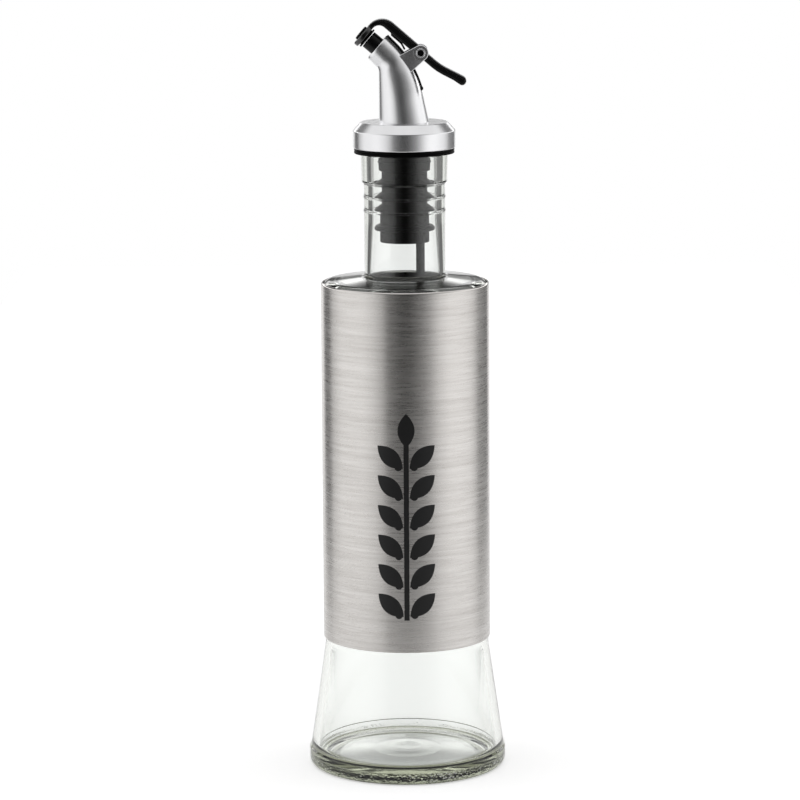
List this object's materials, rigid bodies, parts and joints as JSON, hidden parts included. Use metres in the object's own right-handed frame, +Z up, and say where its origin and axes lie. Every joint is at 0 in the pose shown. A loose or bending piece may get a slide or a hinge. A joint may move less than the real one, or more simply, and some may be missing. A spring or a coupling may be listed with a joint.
{
  "type": "oil dispenser bottle",
  "caption": "Clear glass oil dispenser bottle with a flared foot, a brushed steel sleeve, and a finned rubber stopper carrying a satin metal spout shut by a black flip lever.",
  "frame": {"origin": "centre of the base, on the plane that the foot ring stands on", "axes": "+Z up along the bottle's axis; -X is the way the spout points, +X the lever's tail; Y is across"},
  "size_m": [0.0732, 0.0732, 0.2782],
  "materials": {
    "clear_glass": "clear polished glass, faintly green where thick",
    "brushed_steel": "brushed round the sleeve, polished rolled lip, dark printed ornament",
    "black_rubber": "smooth matt black rubber",
    "dark_plastic_tube": "smoky extruded plastic tube",
    "satin_metal": "satin plated die casting",
    "black_plastic": "moulded black plastic",
    "lever_plastic": "semi-gloss moulded black plastic"
  },
  "bodies": {
    "bottle": {"glass_bottle": "clear_glass", "steel_sleeve": "brushed_steel", "gasket_ring": "black_rubber", "stopper_plug": "black_rubber", "vent_tube": "dark_plastic_tube", "spout_body": "satin_metal", "nozzle_tip": "black_plastic", "vent_strip": "black_plastic", "hinge_pin": "black_plastic"},
    "flip_lever": {"lever": "lever_plastic", "spout_cap": "black_rubber"}
  },
  "joints": [
    {"name": "lever_hinge", "type": "hinge", "parent": "bottle", "child": "flip_lever", "pos_m": [0.00615, 0, 0.26594], "axis": [0, 1, 0], "range_deg": [0, 40]}
  ]
}
